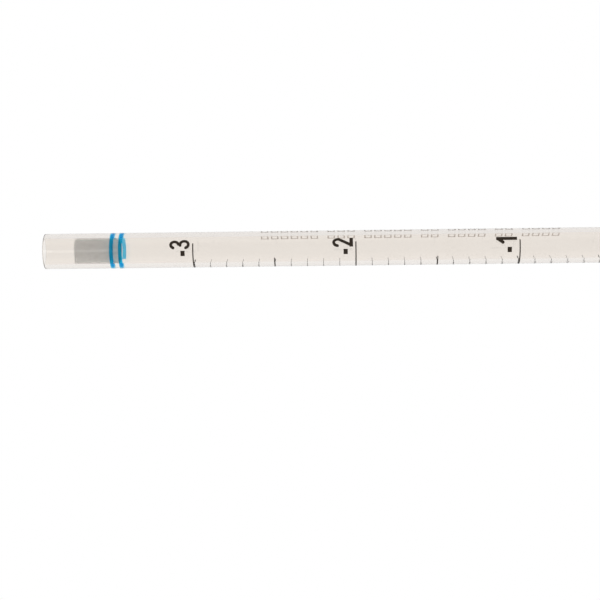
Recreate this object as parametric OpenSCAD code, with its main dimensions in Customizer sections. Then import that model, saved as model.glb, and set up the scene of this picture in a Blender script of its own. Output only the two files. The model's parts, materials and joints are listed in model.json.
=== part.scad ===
// Graduated pipette, 5 mL in 1/10 mL: a clear tube drawn down to a tip in one piece,
// a fibre filter plug pushed into its mouth, two colour bands and a printed scale
// that runs past zero to minus 3.
// The pipette stands along +Z, tip down, with the origin at the centre of the tip's
// opening. Angles round the tube count from the front (-Y) and grow towards +X.
// All sizes are in millimetres and degrees.

/* [Tube] */
// Overall length, tip to mouth
total_length = 345.6; // [340:0.1:350]
// Outside diameter of the tube
tube_diameter = 8.0; // [7.8:0.1:8.4]
// Bore diameter of the tube
bore_diameter = 5.9; // [5.8:0.02:6.1]
// Rounding of both edges of the mouth rim
rim_rounding = 0.15; // [0.1:0.05:0.35]

/* [Tip] */
// Outside diameter of the drawn tip
tip_diameter = 2.34; // [2:0.02:2.8]
// Length of the tip's straight stretch
tip_straight = 12.3; // [9:0.1:13]
// Radius of the hollow curve where the tip starts to widen
draw_radius = 40; // [32:1:44]
// Slope of the drawn cone, from the tube's axis
cone_angle = 15; // [13:0.5:16]
// Radius of the shoulder where the cone meets the tube
shoulder_radius = 8; // [4:0.5:10]
// Rounding of the tip's outer edge
tip_rounding = 0.12; // [0.05:0.01:0.2]

/* [Filter plug] */
// Depth of the plug's top below the mouth
plug_depth = 7.0; // [5:0.5:10]
// Length of the plug
plug_length = 10.2; // [8:0.1:12]
// Clearance between plug and bore, on the radius
plug_clearance = 0.02; // [0.02:0.01:0.08]
// Height of the domed ends of the plug
plug_dome = 0.3; // [0.1:0.05:0.5]

/* [Colour bands] */
// Width of one band
band_width = 0.86; // [0.5:0.02:1]
// Depth of the upper band's centre below the mouth
band_depth = 15.55; // [14:0.05:17]
// Distance between the two bands, centre to centre
band_pitch = 2.01; // [1.5:0.01:3]
// Angle where the bands start
band_start = -97; // [-110:1:-90]
// Angle where the bands end, which leaves a gap at the back
band_end = 219; // [200:1:240]

/* [Scale] */
// Height of the zero line above the tip
zero_height = 201.9; // [201:0.1:204]
// Thickness of the printed ink
ink_thickness = 0.03; // [0.02:0.01:0.04]
// Angle of the common edge of the lines above zero
upper_edge = -131; // [-140:1:-120]
// Angle where a full line above zero ends
upper_full_end = 21; // [10:1:30]
// Angle where a half line above zero ends
upper_half_end = -30; // [-45:1:-20]
// Angle where a short mark above zero ends
upper_short_end = -60; // [-80:1:-50]
// Angle where a full line below zero starts
lower_full_start = -256; // [-270:1:-240]
// Angle where a full line below zero ends
lower_full_end = 41; // [30:1:60]
// Angle where a half line below zero starts
lower_half_start = -217; // [-230:1:-200]
// Angle where a half line below zero ends
lower_half_end = -12; // [-25:1:0]
// Angle where a short mark below zero starts
lower_short_start = -165; // [-180:1:-150]
// Angle where a short mark below zero ends
lower_short_end = -50; // [-65:1:-40]
// Width of a full line above zero
upper_line_width = 0.26; // [0.2:0.02:0.4]
// Width of a half line above zero
upper_half_width = 0.2; // [0.1:0.02:0.4]
// Width of a short mark above zero
upper_short_width = 0.1; // [0.06:0.02:0.4]
// Width of a full line below zero
lower_line_width = 0.46; // [0.3:0.02:0.5]
// Width of a half line below zero
lower_half_width = 0.24; // [0.1:0.02:0.4]
// Width of a short mark below zero
lower_short_width = 0.2; // [0.06:0.02:0.4]

/* [Numerals] */
// Height of a numeral above zero
upper_numeral_height = 4.65; // [3.5:0.05:5]
// Width of a numeral above zero
upper_numeral_width = 2.05; // [1.8:0.05:2.4]
// Stroke of a numeral above zero
upper_numeral_stroke = 0.66; // [0.4:0.02:0.7]
// Angle of the centre of a numeral above zero
upper_numeral_angle = 19; // [10:1:30]
// Gap between a full line and the numeral above it, above zero
upper_numeral_gap = 0.65; // [0.4:0.05:1]
// Height of a numeral below zero
lower_numeral_height = 5.13; // [4:0.05:5.5]
// Width of a numeral below zero
lower_numeral_width = 2.75; // [2.2:0.05:3]
// Stroke of a numeral below zero
lower_numeral_stroke = 0.78; // [0.5:0.02:0.85]
// Angle of the centre of a numeral below zero
lower_numeral_angle = -2; // [-10:1:10]
// Gap between a full line and the numeral above it, below zero
lower_numeral_gap = 1.33; // [1:0.05:1.6]
// Length of the minus sign round the tube
minus_length = 1.2; // [0.8:0.05:1.4]
// Thickness of the minus sign
minus_thickness = 0.95; // [0.5:0.05:1]
// Height of the minus sign's centre above the numeral's foot
minus_rise = 1.66; // [1.2:0.05:2.2]
// Angle of the centre of the minus sign
minus_angle = -11.5; // [-15:0.5:-8]

/* [Back print] */
// Height of the small numerals of the filling scale
small_numeral_height = 2.3; // [1.8:0.1:2.8]
// Width of the small numerals
small_numeral_width = 1.7; // [1.2:0.1:2]
// Stroke of the small numerals
small_numeral_stroke = 0.36; // [0.2:0.02:0.45]
// Angle of the centre of the small numerals
small_numeral_angle = 124; // [115:1:135]
// Gap between a full line and the small numeral above it
small_numeral_gap = 1.9; // [1.5:0.1:2.5]
// Height of the legend's lower end above the zero line
legend_rise = 27.1; // [20:0.1:35]
// Angle of the legend's first edge
legend_start = 100; // [95:1:110]
// Angle of the legend's other edge
legend_end = 133; // [125:1:140]
// Length of one plain box of the legend
legend_box = 1.7; // [1.2:0.1:1.9]
// Distance from one box to the next
legend_pitch = 2.25; // [2:0.05:2.4]
// Extra space between two groups of boxes
legend_space = 1.6; // [1:0.1:2]
// Stroke of the boxes
legend_stroke = 0.3; // [0.2:0.02:0.4]

/* [Hidden] */

$fn = 96;
clear_plastic = [0.90, 0.87, 0.84, 0.4];
white_fibre = [0.76, 0.75, 0.71];
blue_ink = [0.05, 0.48, 0.68];
dark_ink = [0.16, 0.13, 0.10];

tube_r = tube_diameter / 2;
bore_r = bore_diameter / 2;
tip_r = tip_diameter / 2;
// Depth of the blocks that numerals are cut from, enough to pass the tube's front
block_depth = tube_r + 1;
// One millilitre fills this length of the bore
ml_length = 1000 / (PI * bore_r * bore_r);
// Millilitres from the highest and to the lowest line, counted down from zero
top_reading = -3;
bottom_reading = 4.5;
// Boxes in each group of the legend
legend_groups = [4, 2, 4, 2, 5, 3, 6];

// ---- Plane curves ----

// Points of an elliptical arc with half-axes r, from one angle to another
function arc(centre, r, from, to, steps = 10) = [
    for (i = [0 : steps])
        let (t = from + (to - from) * i / steps)
            centre + [r.x * cos(t), r.y * sin(t)]
];

function unit(v) = v / norm(v);

// Direction of a path at point i
function heading(path, i) =
    unit(path[min(i + 1, len(path) - 1)] - path[max(i - 1, 0)]);

// Point beside point i of a path, to its left for a positive distance
function beside(path, i, distance) =
    let (along = heading(path, i)) path[i] + distance * [-along.y, along.x];

// Points of a round end of radius r, facing the given way
function round_end(centre, facing, r) =
    let (middle = atan2(facing.y, facing.x))
        [for (turn = [54, 18, -18, -54])
            centre + r * [cos(middle + turn), sin(middle + turn)]];

// Outline of a path drawn with a round pen
function pen_line(path, width) =
    let (last = len(path) - 1, half = width / 2) concat(
        [for (i = [0 : last]) beside(path, i, half)],
        round_end(path[last], heading(path, last), half),
        [for (i = [last : -1 : 0]) beside(path, i, -half)],
        round_end(path[0], -heading(path, 0), half)
    );

// ---- Numerals, w wide and h high, drawn with a pen of width s ----
// Each stroke is a deep upright block, which ink_figure() cuts to the ink's skin.

module pen(path, width) {
    linear_extrude(block_depth) polygon(pen_line(path, width));
}

module bar(corner, size) {
    translate([corner.x, corner.y, 0]) cube([size.x, size.y, block_depth]);
}

module digit_0(w, h, s) {
    middle = [w / 2, h / 2];
    linear_extrude(block_depth) difference() {
        polygon(arc(middle, middle, 0, 350, 35));
        polygon(arc(middle, middle - [s, s], 0, 350, 35));
    }
}

module digit_1(w, h, s) {
    stem = 0.7 * w;
    stem_width = 1.14 * s;
    bar([stem - stem_width / 2, 0], [stem_width, h]);
    pen([[stem, h - s / 2], [stem - 0.42 * w, 0.68 * h]], stem_width);
}

module digit_2(w, h, s) {
    bowl = arc([0.48 * w, 0.74 * h], [0.52 * w, 0.26 * h] - [s, s] / 2, 178, -35);
    pen(concat(bowl, [[0.17 * w, 0.09 * h]]), s);
    bar([0, 0], [w, 1.2 * s]);
}

module digit_3(w, h, s) {
    nib = [s, s] / 2;
    pen(arc([0.42 * w, 0.745 * h], [0.52 * w, 0.255 * h] - nib, 158, -80), s);
    pen(arc([0.45 * w, 0.275 * h], [0.55 * w, 0.275 * h] - nib, 105, -160), s);
}

module digit_4(w, h, s) {
    crossing = 0.286 * h;
    bar([0.71 * w - s / 2, 0], [s, h]);
    bar([0, crossing - s / 2], [w, s]);
    pen([[0.66 * w, h - s / 2], [0.15 * w, crossing + s / 8]], s);
}

module digit(number, w, h, s) {
    if (number == 0) digit_0(w, h, s);
    if (number == 1) digit_1(w, h, s);
    if (number == 2) digit_2(w, h, s);
    if (number == 3) digit_3(w, h, s);
    if (number == 4) digit_4(w, h, s);
}

// ---- Print on the tube ----

// A patch of ink between two angles and two heights
module ink_patch(from, to, bottom, top) {
    rotate([0, 0, from - 90])
        rotate_extrude(angle = to - from)
            translate([tube_r, bottom]) square([ink_thickness, top - bottom]);
}

// A figure cut from upright blocks, whose middle line lies at the given angle
module ink_figure(angle, foot, width, height) {
    rotate([0, 0, angle])
        intersection() {
            translate([-width / 2, 0, foot])
                rotate([90, 0, 0]) children();
            rotate_extrude()
                translate([tube_r, foot - 1]) square([ink_thickness, height + 2]);
        }
}

function height_of(reading) = zero_height - reading * ml_length;

module line(reading, from, to, width) {
    ink_patch(from, to, height_of(reading) - width / 2, height_of(reading) + width / 2);
}

// One graduation, given in tenths of a millilitre
module graduation(tenths) {
    reading = tenths / 10;
    is_full = tenths % 10 == 0;
    is_half = tenths % 5 == 0;
    if (tenths < 0) {
        if (is_full) line(reading, upper_edge, upper_full_end, upper_line_width);
        else if (is_half) line(reading, upper_edge, upper_half_end, upper_half_width);
        else line(reading, upper_edge, upper_short_end, upper_short_width);
    } else {
        if (is_full) line(reading, lower_full_start, lower_full_end, lower_line_width);
        else if (is_half) line(reading, lower_half_start, lower_half_end, lower_half_width);
        else line(reading, lower_short_start, lower_short_end, lower_short_width);
    }
}

// The full line at a reading and the marks below it, down to the next full line
module marks_from(reading) {
    last = min(reading * 10 + 9, bottom_reading * 10);
    color(dark_ink) for (tenths = [reading * 10 : last]) graduation(tenths);
}

module upper_numeral(number) {
    foot = height_of(-number) + upper_numeral_gap;
    color(dark_ink) {
        ink_figure(upper_numeral_angle, foot, upper_numeral_width, upper_numeral_height)
            digit(number, upper_numeral_width, upper_numeral_height, upper_numeral_stroke);
        ink_figure(minus_angle, foot + minus_rise - minus_thickness / 2,
                   minus_length, minus_thickness)
            bar([0, 0], [minus_length, minus_thickness]);
    }
}

module lower_numeral(number) {
    color(dark_ink)
        ink_figure(lower_numeral_angle, height_of(number) + lower_numeral_gap,
                   lower_numeral_width, lower_numeral_height)
            digit(number, lower_numeral_width, lower_numeral_height, lower_numeral_stroke);
}

module band(centre) {
    color(blue_ink) ink_patch(band_start, band_end, centre - band_width / 2, centre + band_width / 2);
}

// A plain open box that stands for one letter of a legend
module open_box(bottom) {
    edge = legend_stroke / tube_r * 180 / PI;
    difference() {
        ink_patch(legend_start, legend_end, bottom, bottom + legend_box);
        rotate([0, 0, legend_start + edge - 90])
            rotate_extrude(angle = legend_end - legend_start - 2 * edge)
                translate([tube_r - 1, bottom + legend_stroke])
                    square([2, legend_box - 2 * legend_stroke]);
    }
}

// ---- Tube ----

// Outside of the tube as [radius, height], from the tip up to the shoulder
cone_foot = [
    tip_r + draw_radius * (1 - cos(cone_angle)),
    tip_straight + draw_radius * sin(cone_angle)
];
shoulder_corner = cone_foot.y + (tube_r - cone_foot.x) / tan(cone_angle);
shoulder_end = shoulder_corner + shoulder_radius * tan(cone_angle / 2);
drawn_side = concat(
    [[tip_r, 0]],
    arc([tip_r + draw_radius, tip_straight], [draw_radius, draw_radius], 180, 180 - cone_angle, 6),
    arc([tube_r - shoulder_radius, shoulder_end], [1, 1] * shoulder_radius, -cone_angle, 0, 4)
);
// Drawing keeps the ratio of bore to outside, so the bore follows the outside
draw_ratio = bore_r / tube_r;
drawn_bore = [for (p = drawn_side) [p.x * draw_ratio, p.y]];
rim = [rim_rounding, rim_rounding];
rim_height = total_length - rim_rounding;

module tube_section() {
    polygon(concat(
        [[tip_r - tip_rounding, 0], [tip_r, tip_rounding]],
        [for (i = [1 : len(drawn_side) - 1]) drawn_side[i]],
        arc([tube_r - rim_rounding, rim_height], rim, 0, 90, 5),
        arc([bore_r + rim_rounding, rim_height], rim, 90, 180, 5),
        [for (i = [len(drawn_bore) - 1 : -1 : 0]) drawn_bore[i]]
    ));
}

module plug_section() {
    r = bore_r - plug_clearance;
    top = total_length - plug_depth;
    bottom = top - plug_length;
    polygon(concat(
        [[0, bottom]],
        arc([0, bottom + plug_dome], [r, plug_dome], -75, 0, 5),
        arc([0, top - plug_dome], [r, plug_dome], 0, 75, 5),
        [[0, top]]
    ));
}

// ---- Sub-parts ----

module barrel() { color(clear_plastic) rotate_extrude() tube_section(); }
module filter_plug() { color(white_fibre) rotate_extrude() plug_section(); }

module upper_band() { band(total_length - band_depth); }
module lower_band() { band(total_length - band_depth - band_pitch); }

module numeral_minus_3() { upper_numeral(3); }
module numeral_minus_2() { upper_numeral(2); }
module numeral_minus_1() { upper_numeral(1); }
module numeral_0() { lower_numeral(0); }
module numeral_1() { lower_numeral(1); }
module numeral_2() { lower_numeral(2); }
module numeral_3() { lower_numeral(3); }
module numeral_4() { lower_numeral(4); }

module marks_minus_3() { marks_from(top_reading); }
module marks_minus_2() { marks_from(-2); }
module marks_minus_1() { marks_from(-1); }
module marks_0() { marks_from(0); }
module marks_1() { marks_from(1); }
module marks_2() { marks_from(2); }
module marks_3() { marks_from(3); }
module marks_4() { marks_from(4); }

// Numerals of the filling scale, which counts up from the tip
module small_numerals() {
    color(dark_ink) for (number = [1 : 4])
        ink_figure(small_numeral_angle, height_of(5 - number) + small_numeral_gap,
                   small_numeral_width, small_numeral_height)
            digit(number, small_numeral_width, small_numeral_height, small_numeral_stroke);
}

// Number of the legend's boxes below a group
function boxes_below(group) =
    group == 0 ? 0 : legend_groups[group - 1] + boxes_below(group - 1);

module legend() {
    foot = zero_height + legend_rise;
    color(dark_ink) for (group = [0 : len(legend_groups) - 1], i = [0 : legend_groups[group] - 1])
        open_box(foot + (boxes_below(group) + i) * legend_pitch + group * legend_space);
}

barrel();
filter_plug();
upper_band();
lower_band();
numeral_minus_3();
numeral_minus_2();
numeral_minus_1();
numeral_0();
numeral_1();
numeral_2();
numeral_3();
numeral_4();
marks_minus_3();
marks_minus_2();
marks_minus_1();
marks_0();
marks_1();
marks_2();
marks_3();
marks_4();
small_numerals();
legend();
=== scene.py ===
import json
import math
import random

import bpy
from mathutils import Matrix, Vector, noise


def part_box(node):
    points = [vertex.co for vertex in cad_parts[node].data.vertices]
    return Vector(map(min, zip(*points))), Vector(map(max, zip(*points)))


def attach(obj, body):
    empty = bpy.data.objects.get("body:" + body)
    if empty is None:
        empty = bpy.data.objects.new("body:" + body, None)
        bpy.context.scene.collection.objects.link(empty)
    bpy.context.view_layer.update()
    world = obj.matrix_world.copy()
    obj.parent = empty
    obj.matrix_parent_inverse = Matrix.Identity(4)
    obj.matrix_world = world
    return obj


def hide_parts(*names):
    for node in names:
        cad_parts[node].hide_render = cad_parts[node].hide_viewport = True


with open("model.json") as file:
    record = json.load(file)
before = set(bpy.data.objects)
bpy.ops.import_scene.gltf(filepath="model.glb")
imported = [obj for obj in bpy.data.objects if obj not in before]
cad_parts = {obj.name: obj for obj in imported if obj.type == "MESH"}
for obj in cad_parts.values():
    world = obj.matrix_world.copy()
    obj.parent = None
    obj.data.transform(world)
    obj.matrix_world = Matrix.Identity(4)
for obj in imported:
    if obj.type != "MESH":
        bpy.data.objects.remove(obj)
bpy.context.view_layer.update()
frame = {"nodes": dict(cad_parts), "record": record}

# A clear plastic graduated pipette with a filter plug in its mouth. It stands on its tip
# along +Z, and its numerals face -Y.

MM = 0.001
FULL_TURN = 2 * math.pi

# ---- Sizes, in metres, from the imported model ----

MOUNTS = {mount["name"]: mount for mount in frame["record"]["mounts"]}
BARREL_LOW, BARREL_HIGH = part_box("barrel")
PLUG_LOW, PLUG_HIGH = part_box("filter_plug")
TUBE_R = (BARREL_HIGH.x - BARREL_LOW.x) / 2
MOUTH_Z = BARREL_HIGH.z
PLUG_R = (PLUG_HIGH.x - PLUG_LOW.x) / 2
TIP_R = MOUNTS["tip_outside"]["dims"]["r_mm"] * MM
ORIFICE_R = MOUNTS["tip_orifice"]["dims"]["r_mm"] * MM
TIP_STRAIGHT = MOUNTS["tip_orifice"]["dims"]["length_mm"] * MM

# The drawn tip and the rim, as they are shaped in the CAD model
DRAW_RADIUS = 40 * MM
CONE_ANGLE = math.radians(15)
SHOULDER_RADIUS = 8 * MM
RIM_ROUNDING = 0.15 * MM
TIP_ROUNDING = 0.12 * MM
# The bore is this share of the outside, all the way down
DRAW_RATIO = ORIFICE_R / TIP_R
# The ink films start on the tube's nominal surface. The visible surface lies this much
# further out, inside the films, so that ink and plastic are in contact.
INK_SINK = 0.010 * MM

# ---- Camera, on the side that the numerals face, lying on its side ----

CAMERA_DISTANCE = 0.350
CAMERA_HEIGHT = 0.27775
CAMERA_LENS = 92.77
CAMERA_SENSOR = 36
NEAREST_SEEN = 0.01
FARTHEST_SEEN = 20
CAMERA_YAW = math.radians(1.649)
CAMERA_PITCH = math.radians(-1.908)
CAMERA_ROLL = math.radians(-0.702)


def make_camera():
    data = bpy.data.cameras.new("camera")
    data.lens = CAMERA_LENS
    data.sensor_width = CAMERA_SENSOR
    data.clip_start = NEAREST_SEEN
    data.clip_end = FARTHEST_SEEN
    camera = bpy.data.objects.new("camera", data)
    # The picture's right is -Z and its top is +X
    lying = Matrix(((0, 1, 0), (0, 0, -1), (-1, 0, 0)))
    turn = Matrix.Rotation(CAMERA_YAW, 3, "Y")
    turn = turn @ Matrix.Rotation(CAMERA_PITCH, 3, "X")
    turn = turn @ Matrix.Rotation(CAMERA_ROLL, 3, "Z")
    camera.matrix_world = (lying @ turn).to_4x4()
    camera.location = (0, -CAMERA_DISTANCE, CAMERA_HEIGHT)
    bpy.context.scene.collection.objects.link(camera)
    bpy.context.scene.camera = camera


# ---- Studio ----

# Brightness of the white screens round the object, and of the room behind the camera as
# it shows in gloss and as it lights matt surfaces
SCREEN_LEVEL = 0.93
ROOM_LEVEL = 0.722
ROOM_LIGHT = 0.74
# The room fills the directions below the first of these along Y, the screens those above the
# second, and one fades into the other between them
ROOM_END = -0.85
SCREENS_START = -0.30
# How much brighter the screens light matt surfaces than they look in the plastic
SCREEN_LIGHT = 0.42
# The lamp beside the camera, in metres and watts
PANEL_WIDTH = 0.11
PANEL_HEIGHT = 0.20
PANEL_LOW_EDGE = 0.377
PANEL_POWER = 0.07
# The screen at -X is this much brighter than the middle, and the one at +X this much darker,
# as they show in the plastic and as they light matt surfaces
SIDE_LEAN = 0.039
SIDE_LEAN_LIGHT = 0.12

FLOOR_RADIUS = 1.1
FLOOR_SIDES = 96
# The floor lies this far under the tip, so that the two faces don't share a plane
FLOOR_DROP = 0.2 * MM


def math_node(tree, operation, *values):
    node = tree.nodes.new("ShaderNodeMath")
    node.operation = operation
    for socket, value in zip(node.inputs, values):
        if isinstance(value, bpy.types.NodeSocket):
            tree.links.new(value, socket)
        else:
            socket.default_value = value
    return node.outputs["Value"]


def make_world():
    """White screens on three sides, and a plain white backdrop wherever the camera looks."""
    world = bpy.data.worlds.new("studio")
    bpy.context.scene.world = world
    world.use_nodes = True
    tree = world.node_tree
    place = tree.nodes.new("ShaderNodeTexCoord")
    split = tree.nodes.new("ShaderNodeSeparateXYZ")
    tree.links.new(place.outputs["Generated"], split.inputs["Vector"])
    path = tree.nodes.new("ShaderNodeLightPath")
    lighting = math_node(tree, "MINIMUM", path.outputs["Diffuse Depth"], 1.0)
    room = math_node(tree, "MULTIPLY_ADD", lighting, ROOM_LIGHT - ROOM_LEVEL, ROOM_LEVEL)
    screens = tree.nodes.new("ShaderNodeMapRange")
    screens.interpolation_type = "SMOOTHSTEP"
    screens.inputs["From Min"].default_value = ROOM_END
    screens.inputs["From Max"].default_value = SCREENS_START
    screens.inputs["To Max"].default_value = SCREEN_LEVEL
    tree.links.new(split.outputs["Y"], screens.inputs["Value"])
    tree.links.new(room, screens.inputs["To Min"])
    lean = math_node(tree, "MULTIPLY_ADD", lighting, SIDE_LEAN - SIDE_LEAN_LIGHT, -SIDE_LEAN)
    lean = math_node(tree, "MULTIPLY_ADD", split.outputs["X"], lean, 1.0)
    level = math_node(tree, "MULTIPLY", screens.outputs["Result"], lean)
    sideways = math_node(tree, "ABSOLUTE", split.outputs["X"])
    extra = math_node(tree, "MULTIPLY", sideways, lighting)
    level = math_node(tree, "MULTIPLY_ADD", extra, SCREEN_LIGHT, level)
    backdrop = math_node(tree, "SUBTRACT", 1.0, level)
    shown = math_node(tree, "MULTIPLY_ADD", path.outputs["Is Camera Ray"], backdrop, level)
    tree.links.new(shown, tree.nodes["Background"].inputs["Strength"])
    tree.nodes["Background"].inputs["Color"].default_value = (1, 1, 1, 1)


def make_gloss_panel():
    """A soft lamp beside the camera that shows only as a line in the gloss of the mouth end."""
    data = bpy.data.lights.new("gloss_panel", "AREA")
    data.shape = "RECTANGLE"
    data.size = PANEL_WIDTH
    data.size_y = PANEL_HEIGHT
    data.energy = PANEL_POWER
    panel = bpy.data.objects.new("gloss_panel", data)
    panel.location = (0, -CAMERA_DISTANCE, PANEL_LOW_EDGE + PANEL_HEIGHT / 2)
    # Its face looks along +Y and its height runs along Z
    panel.rotation_euler = (math.radians(90), 0, 0)
    panel.visible_camera = False
    panel.visible_diffuse = False
    panel.visible_transmission = False
    bpy.context.scene.collection.objects.link(panel)


def make_floor():
    corners = []
    for i in range(FLOOR_SIDES):
        angle = FULL_TURN * i / FLOOR_SIDES
        corners.append((FLOOR_RADIUS * math.cos(angle), FLOOR_RADIUS * math.sin(angle), -FLOOR_DROP))
    mesh = bpy.data.meshes.new("floor")
    mesh.from_pydata(corners, [], [tuple(range(FLOOR_SIDES))])
    floor = bpy.data.objects.new("floor", mesh)
    bpy.context.scene.collection.objects.link(floor)
    mesh.materials.append(floor_material())


# ---- Material helpers ----

# Noise seldom leaves this range, so colours and values are spread between its two ends
NOISE_LOW = 0.3
NOISE_HIGH = 0.7


def new_material(name):
    material = bpy.data.materials.new(name)
    material.use_nodes = True
    tree = material.node_tree
    return material, tree, tree.nodes["Principled BSDF"]


def object_coordinates(tree, scale):
    """The object's own coordinates, in metres, times a scale along each axis."""
    place = tree.nodes.new("ShaderNodeTexCoord")
    mapping = tree.nodes.new("ShaderNodeMapping")
    mapping.inputs["Scale"].default_value = scale
    tree.links.new(place.outputs["Object"], mapping.inputs["Vector"])
    return mapping.outputs["Vector"]


def noise_field(tree, scale, detail=3.0):
    """A noise with about this many cells to the metre along each axis."""
    texture = tree.nodes.new("ShaderNodeTexNoise")
    texture.inputs["Scale"].default_value = 1.0
    texture.inputs["Detail"].default_value = detail
    tree.links.new(object_coordinates(tree, scale), texture.inputs["Vector"])
    return texture.outputs["Fac"]


def colour_between(tree, factor, low, high):
    ramp = tree.nodes.new("ShaderNodeValToRGB")
    ramp.color_ramp.elements[0].position = NOISE_LOW
    ramp.color_ramp.elements[0].color = (*low, 1)
    ramp.color_ramp.elements[1].position = NOISE_HIGH
    ramp.color_ramp.elements[1].color = (*high, 1)
    tree.links.new(factor, ramp.inputs["Fac"])
    return ramp.outputs["Color"]


def value_between(tree, factor, low, high):
    spread = tree.nodes.new("ShaderNodeMapRange")
    spread.inputs["From Min"].default_value = NOISE_LOW
    spread.inputs["From Max"].default_value = NOISE_HIGH
    spread.inputs["To Min"].default_value = low
    spread.inputs["To Max"].default_value = high
    tree.links.new(factor, spread.inputs["Value"])
    return spread.outputs["Result"]


def bump_from(tree, shader, factor, height, strength=1.0):
    bump = tree.nodes.new("ShaderNodeBump")
    bump.inputs["Strength"].default_value = strength
    bump.inputs["Distance"].default_value = height
    tree.links.new(factor, bump.inputs["Height"])
    tree.links.new(bump.outputs["Normal"], shader.inputs["Normal"])


# ---- Materials ----

POLYSTYRENE_IOR = 1.59
# Cells of faint clouding, and of the lines that drawing the tube leaves along it
CLOUD_CELLS = (300, 300, 120)
DRAW_LINE_CELLS = (2500, 2500, 15)
DRAW_LINE_HEIGHT = 0.0002 * MM
TINT_DARK = (0.966, 0.936, 0.898)
TINT_LIGHT = (0.976, 0.948, 0.911)
POLISH = (0.0, 0.02)
# What the plastic absorbs inside its wall: the colour that is left, and how densely per metre
DEPTH_COLOUR = (0.918, 0.900, 0.895, 1)
DEPTH_DENSITY = 350

# The sawn and lightly fused faces of the two ends, which are a little frosted. Their colour is also
# painted darker, as painted shade that draws grey lines round the rim and the tip's end
CUT_DEPTH = 0.12 * MM
END_PAINTED_SHADE_TINT = (0.74, 0.72, 0.69, 1)
CUT_ROUGHNESS = 0.30
CUT_FROST = 0.45


def end_frost_and_shade(tree):
    """From 0 on the tube to 1 on the end faces of the mouth and the tip, where they are frosted and
    where their colour is painted darker as shade.
    """
    place = tree.nodes.new("ShaderNodeTexCoord")
    split = tree.nodes.new("ShaderNodeSeparateXYZ")
    tree.links.new(place.outputs["Object"], split.inputs["Vector"])
    ends = []
    for begin, end in ((MOUTH_Z - CUT_DEPTH, MOUTH_Z), (CUT_DEPTH, 0)):
        spread = tree.nodes.new("ShaderNodeMapRange")
        spread.inputs["From Min"].default_value = begin
        spread.inputs["From Max"].default_value = end
        tree.links.new(split.outputs["Z"], spread.inputs["Value"])
        ends.append(spread.outputs["Result"])
    return math_node(tree, "MAXIMUM", *ends)


def clear_plastic_material():
    material, tree, shader = new_material("clear_plastic")
    shader.inputs["IOR"].default_value = POLYSTYRENE_IOR
    clouds = noise_field(tree, CLOUD_CELLS)
    tint = colour_between(tree, clouds, TINT_DARK, TINT_LIGHT)
    frost_and_shade = end_frost_and_shade(tree)
    clear = math_node(tree, "MULTIPLY_ADD", frost_and_shade, -CUT_FROST, 1.0)
    tree.links.new(clear, shader.inputs["Transmission Weight"])
    shade = tree.nodes.new("ShaderNodeMix")
    shade.data_type = "RGBA"
    tree.links.new(frost_and_shade, shade.inputs["Factor"])
    tree.links.new(tint, shade.inputs["A"])
    # Painted shade: the end faces' colour is darkened to this grey, for the grey lines at the rim
    # and the tip
    shade.inputs["B"].default_value = END_PAINTED_SHADE_TINT
    tree.links.new(shade.outputs["Result"], shader.inputs["Base Color"])
    draw_lines = noise_field(tree, DRAW_LINE_CELLS)
    polish = value_between(tree, draw_lines, *POLISH)
    rough = math_node(tree, "MULTIPLY_ADD", frost_and_shade, CUT_ROUGHNESS, polish)
    tree.links.new(rough, shader.inputs["Roughness"])
    bump_from(tree, shader, draw_lines, DRAW_LINE_HEIGHT)
    depth = tree.nodes.new("ShaderNodeVolumeAbsorption")
    depth.inputs["Color"].default_value = DEPTH_COLOUR
    depth.inputs["Density"].default_value = DEPTH_DENSITY
    tree.links.new(depth.outputs["Volume"], tree.nodes["Material Output"].inputs["Volume"])
    return material


# Cells of the fibre's clumps and of its single strands
CLUMP_CELLS = (1500, 1500, 1100)
STRAND_CELLS = (9000, 9000, 5000)
STRAND_HEIGHT = 0.03 * MM


def fibre_material():
    material, tree, shader = new_material("filter_fibre")
    mottle = noise_field(tree, CLUMP_CELLS, 5.0)
    colour = colour_between(tree, mottle, (0.84, 0.85, 0.84), (0.92, 0.93, 0.93))
    tree.links.new(colour, shader.inputs["Base Color"])
    shader.inputs["Roughness"].default_value = 0.95
    shader.inputs["Specular IOR Level"].default_value = 0.1
    shader.inputs["Sheen Weight"].default_value = 0.6
    shader.inputs["Sheen Roughness"].default_value = 0.4
    strands = noise_field(tree, STRAND_CELLS, 4.0)
    bump_from(tree, shader, strands, STRAND_HEIGHT, 0.6)
    return material


# How strongly the mottle of an ink shows in its surface
INK_BUMP = 0.5


def mottled_ink(tree, shader, colours, cells, detail, roughness, height):
    """The mottle that every ink has: in its colour, its roughness and its surface."""
    mottle = noise_field(tree, (cells, cells, cells), detail)
    tree.links.new(colour_between(tree, mottle, *colours), shader.inputs["Base Color"])
    tree.links.new(value_between(tree, mottle, *roughness), shader.inputs["Roughness"])
    bump_from(tree, shader, mottle, height, INK_BUMP)


def scale_ink_material():
    material, tree, shader = new_material("scale_ink")
    colours = ((0.020, 0.014, 0.009), (0.040, 0.029, 0.020))
    mottled_ink(tree, shader, colours, 6000, 4.0, (0.55, 0.75), 0.004 * MM)
    shader.inputs["Specular IOR Level"].default_value = 0.12
    return material


def faded_ink_material():
    """The same ink where it is worn thin, so that light comes through it."""
    material, tree, shader = new_material("faded_ink")
    colours = ((0.34, 0.29, 0.25), (0.54, 0.48, 0.43))
    mottled_ink(tree, shader, colours, 4000, 5.0, (0.2, 0.4), 0.002 * MM)
    shader.inputs["Transmission Weight"].default_value = 1.0
    shader.inputs["IOR"].default_value = 1.25
    return material


def band_ink_material():
    material, tree, shader = new_material("band_ink")
    colours = ((0.010, 0.540, 0.900), (0.018, 0.605, 0.955))
    mottled_ink(tree, shader, colours, 2500, 4.0, (0.05, 0.15), 0.002 * MM)
    shader.inputs["Transmission Weight"].default_value = 0.95
    shader.inputs["IOR"].default_value = 1.2
    return material


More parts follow.
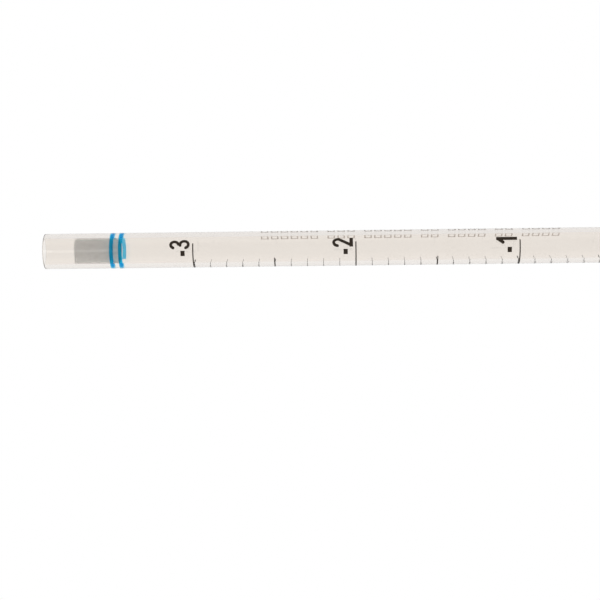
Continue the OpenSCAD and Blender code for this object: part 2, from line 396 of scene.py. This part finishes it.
def floor_material():
    material, tree, shader = new_material("floor")
    grain = noise_field(tree, (60, 60, 60), 6.0)
    colour = colour_between(tree, grain, (0.880, 0.880, 0.875), (0.887, 0.887, 0.882))
    tree.links.new(colour, shader.inputs["Base Color"])
    shader.inputs["Roughness"].default_value = 0.8
    shader.inputs["Specular IOR Level"].default_value = 0.2
    return material


# ---- Meshes ----


def add_piece(name, vertices, faces, material):
    mesh = bpy.data.meshes.new(name)
    mesh.from_pydata(vertices, [], faces)
    mesh.validate()
    mesh.polygons.foreach_set("use_smooth", [True] * len(mesh.polygons))
    piece = bpy.data.objects.new(name, mesh)
    bpy.context.scene.collection.objects.link(piece)
    mesh.materials.append(material)
    return piece


def ring_faces(rings, sides, closed_loop):
    """Faces between rings of equal size, each numbered in turn."""
    faces = []
    for ring in range(rings if closed_loop else rings - 1):
        here = ring * sides
        there = (ring + 1) % rings * sides
        for side in range(sides):
            after = (side + 1) % sides
            faces.append((here + side, here + after, there + after, there + side))
    return faces


def arc(centre_r, centre_z, radius, start, end, steps):
    """Points of a round stretch of an outline, as (radius, height)."""
    points = []
    for i in range(steps + 1):
        angle = start + (end - start) * i / steps
        points.append((centre_r + radius * math.cos(angle), centre_z + radius * math.sin(angle)))
    return points


# ---- Barrel ----

BARREL_SIDES = 256
# Steps in each round stretch of the outline
DRAW_STEPS = 14
SHOULDER_STEPS = 8
TIP_EDGE_STEPS = 4
RIM_STEPS = 7
# Longest straight faces on the tube and on the tip
TUBE_STEP = 6 * MM
TIP_STEP = 2 * MM
QUARTER_TURN = math.pi / 2


def drawn_outline():
    """The outside from the straight tip up to the shoulder."""
    hollow = arc(TIP_R + DRAW_RADIUS, TIP_STRAIGHT, DRAW_RADIUS, math.pi, math.pi - CONE_ANGLE,
                 DRAW_STEPS)
    foot_r, foot_z = hollow[-1]
    corner_z = foot_z + (TUBE_R - foot_r) / math.tan(CONE_ANGLE)
    shoulder_z = corner_z + SHOULDER_RADIUS * math.tan(CONE_ANGLE / 2)
    shoulder = arc(TUBE_R - SHOULDER_RADIUS, shoulder_z, SHOULDER_RADIUS, -CONE_ANGLE, 0,
                   SHOULDER_STEPS)
    return hollow + shoulder


def straight_heights(bottom, top, step=TUBE_STEP):
    """Heights strictly between two ends, evenly spaced."""
    count = math.ceil((top - bottom) / step)
    return [bottom + (top - bottom) * i / count for i in range(1, count)]


def barrel_section():
    """The closed outline of the wall, up the outside and down the bore."""
    drawn = drawn_outline()
    shoulder_z = drawn[-1][1]
    rim_z = MOUTH_Z - RIM_ROUNDING
    bore_r = TUBE_R * DRAW_RATIO
    orifice_r = TIP_R * DRAW_RATIO
    outside = arc(TIP_R - TIP_ROUNDING, TIP_ROUNDING, TIP_ROUNDING, -QUARTER_TURN, 0, TIP_EDGE_STEPS)
    outside += [(TIP_R, z) for z in straight_heights(TIP_ROUNDING, TIP_STRAIGHT, TIP_STEP)]
    outside += drawn
    outside += [(TUBE_R, z) for z in straight_heights(shoulder_z, rim_z)]
    outside += arc(TUBE_R - RIM_ROUNDING, rim_z, RIM_ROUNDING, 0, QUARTER_TURN, RIM_STEPS)
    inside = arc(bore_r + RIM_ROUNDING, rim_z, RIM_ROUNDING, QUARTER_TURN, math.pi, RIM_STEPS)
    inside += [(bore_r, z) for z in reversed(straight_heights(shoulder_z, rim_z))]
    inside += [(r * DRAW_RATIO, z) for r, z in reversed(drawn)]
    inside += [(orifice_r, z) for z in reversed(straight_heights(0, TIP_STRAIGHT, TIP_STEP))]
    inside.append((orifice_r, 0))
    return [(r + INK_SINK, z) for r, z in outside] + inside


def make_barrel():
    section = barrel_section()
    vertices = []
    for r, z in section:
        for side in range(BARREL_SIDES):
            angle = FULL_TURN * side / BARREL_SIDES
            vertices.append((r * math.sin(angle), -r * math.cos(angle), z))
    faces = ring_faces(len(section), BARREL_SIDES, closed_loop=True)
    barrel = add_piece("clear_barrel", vertices, faces, clear_plastic_material())
    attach(barrel, "barrel")
    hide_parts("barrel")


# ---- Filter plug ----

# The solid core of the wad lies this far inside its envelope, on its side and at its two
# ends, and loose fibres fill the rest
CORE_SINK = 0.30 * MM
CORE_END_SINK = 0.10 * MM
WAD_SIDES = 144
WAD_RINGS = 70
CAP_RINGS = 16
# Width of the wad's edge between its side and each end
WAD_EDGE = 0.22 * MM
# How deep the unevenness of the matted fibre goes
MATTING = 0.05 * MM
# Size of its large and its small clumps
COARSE_CLUMP = 1.1 * MM
FINE_CLUMP = 0.35 * MM


def matting(point):
    """How far matted fibre stands back from its envelope, from 0 to about 1."""
    coarse = noise.noise(point / COARSE_CLUMP)
    fine = noise.noise(point / FINE_CLUMP + Vector((7, 3, 5)))
    return min(1.0, max(0.0, 0.5 + 0.5 * coarse + 0.35 * fine))


def wad_point(share_of_radius, z, angle, outward):
    """A point of the wad's uneven skin. Outward is 0 on its side, and -1 or 1 on its ends."""
    r = (PLUG_R - CORE_SINK) * share_of_radius
    point = Vector((r * math.sin(angle), -r * math.cos(angle), z))
    radial = Vector((math.sin(angle), -math.cos(angle), 0))
    normal = radial if outward == 0 else Vector((0, 0, outward))
    return point - normal * MATTING * matting(point)


def wad_ring(share_of_radius, z, outward):
    return [wad_point(share_of_radius, z, FULL_TURN * s / WAD_SIDES, outward)
            for s in range(WAD_SIDES)]


def wad_cap(z, outward):
    """Rings of one end face, from its centre to its edge."""
    widest = 1 - WAD_EDGE / PLUG_R
    return [wad_ring(widest * i / CAP_RINGS, z, outward) for i in range(1, CAP_RINGS + 1)]


def wad_side(low, high):
    """Rings of the round side, from its lower edge to its upper one."""
    bottom = low + WAD_EDGE
    top = high - WAD_EDGE
    return [wad_ring(1.0, bottom + (top - bottom) * i / WAD_RINGS, 0)
            for i in range(WAD_RINGS + 1)]


def make_wad(material):
    low = PLUG_LOW.z + CORE_END_SINK
    high = PLUG_HIGH.z - CORE_END_SINK
    rings = wad_cap(low, -1) + wad_side(low, high) + wad_cap(high, 1)[::-1]
    vertices = [tuple(point) for ring in rings for point in ring]
    faces = ring_faces(len(rings), WAD_SIDES, closed_loop=False)
    low_centre = len(vertices)
    vertices.append((0, 0, low + MATTING / 2))
    vertices.append((0, 0, high - MATTING / 2))
    last = (len(rings) - 1) * WAD_SIDES
    for s in range(WAD_SIDES):
        after = (s + 1) % WAD_SIDES
        faces.append((low_centre, after, s))
        faces.append((low_centre + 1, last + s, last + after))
    wad = add_piece("filter_wad", vertices, faces, material)
    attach(wad, "filter_plug")
    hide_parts("filter_plug")


FIBRES = 2600
FIBRE_SEED = 11
FIBRE_R = 0.011 * MM
FIBRE_STEPS = 6
FIBRE_SIDES = 3
# The rest of the fibres start on the wad's two ends
SHARE_ON_SIDE = 0.75
SHORTEST_STEP = 0.15 * MM
LONGEST_STEP = 0.40 * MM
# How much each step may swerve from the last
CURL = 0.45
# Radius of a fibre's two ends, as a share of its own
FIBRE_POINT = 0.35
# Points of a fibre that are closer than this, in metres, give it no direction
NO_LENGTH = 1e-9


def fibre_start(chance):
    """A place on the wad's skin: most on its side, some on its two ends."""
    angle = chance.uniform(0, FULL_TURN)
    if chance.random() < SHARE_ON_SIDE:
        radius = PLUG_R - chance.uniform(0, CORE_SINK)
        z = chance.uniform(PLUG_LOW.z + CORE_END_SINK, PLUG_HIGH.z - CORE_END_SINK)
    else:
        radius = (PLUG_R - CORE_SINK) * math.sqrt(chance.random())
        z = chance.choice((PLUG_LOW.z + CORE_END_SINK, PLUG_HIGH.z - CORE_END_SINK))
    return Vector((radius * math.sin(angle), -radius * math.cos(angle), z))


def kept_in_envelope(point):
    """The point, moved back inside the plug's own cylinder if it has left it."""
    room = PLUG_R - 2 * FIBRE_R
    radius = math.hypot(point.x, point.y)
    if radius > room:
        point = Vector((point.x * room / radius, point.y * room / radius, point.z))
    low = PLUG_LOW.z + 2 * FIBRE_R
    high = PLUG_HIGH.z - 2 * FIBRE_R
    return Vector((point.x, point.y, min(high, max(low, point.z))))


def any_way(chance):
    return Vector((chance.gauss(0, 1), chance.gauss(0, 1), chance.gauss(0, 1)))


def fibre_path(chance):
    """A curly line that wanders along the wad's skin."""
    point = fibre_start(chance)
    heading = any_way(chance).normalized()
    step = chance.uniform(SHORTEST_STEP, LONGEST_STEP)
    path = [kept_in_envelope(point)]
    for _ in range(FIBRE_STEPS):
        heading = (heading + CURL * any_way(chance)).normalized()
        point = kept_in_envelope(point + heading * step)
        path.append(point)
    return path


def add_fibre(path, vertices, faces):
    """A thin closed tube along the path, narrower at both ends."""
    start = len(vertices)
    last = len(path) - 1
    for i, point in enumerate(path):
        along = path[min(i + 1, last)] - path[max(i - 1, 0)]
        if along.length < NO_LENGTH:
            along = Vector((0, 0, 1))
        along.normalize()
        across = along.orthogonal().normalized()
        third = along.cross(across)
        radius = FIBRE_R * (FIBRE_POINT if i in (0, last) else 1.0)
        for side in range(FIBRE_SIDES):
            angle = FULL_TURN * side / FIBRE_SIDES
            offset = across * math.cos(angle) + third * math.sin(angle)
            vertices.append(tuple(point + offset * radius))
    for i in range(last):
        here = start + i * FIBRE_SIDES
        there = here + FIBRE_SIDES
        for side in range(FIBRE_SIDES):
            after = (side + 1) % FIBRE_SIDES
            faces.append((here + side, here + after, there + after, there + side))
    end = start + last * FIBRE_SIDES
    faces.append(tuple(start + side for side in reversed(range(FIBRE_SIDES))))
    faces.append(tuple(end + side for side in range(FIBRE_SIDES)))


def make_fibres(material):
    chance = random.Random(FIBRE_SEED)
    vertices = []
    faces = []
    for _ in range(FIBRES):
        add_fibre(fibre_path(chance), vertices, faces)
    fibres = add_piece("filter_fibres", vertices, faces, material)
    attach(fibres, "filter_plug")


# ---- Ink ----


def print_ink():
    scale_ink = scale_ink_material()
    faded_ink = faded_ink_material()
    band_ink = band_ink_material()
    for name, node in frame["nodes"].items():
        if name in ("barrel", "filter_plug"):
            continue
        if name.endswith("_band"):
            ink = band_ink
        elif name in ("legend", "small_numerals"):
            ink = faded_ink
        else:
            ink = scale_ink
        node.data.materials.clear()
        node.data.materials.append(ink)


# ---- The scene ----

bpy.context.scene.view_settings.view_transform = "Standard"
make_camera()
make_world()
make_gloss_panel()
make_floor()
make_barrel()
fibre = fibre_material()
make_wad(fibre)
make_fibres(fibre)
print_ink()
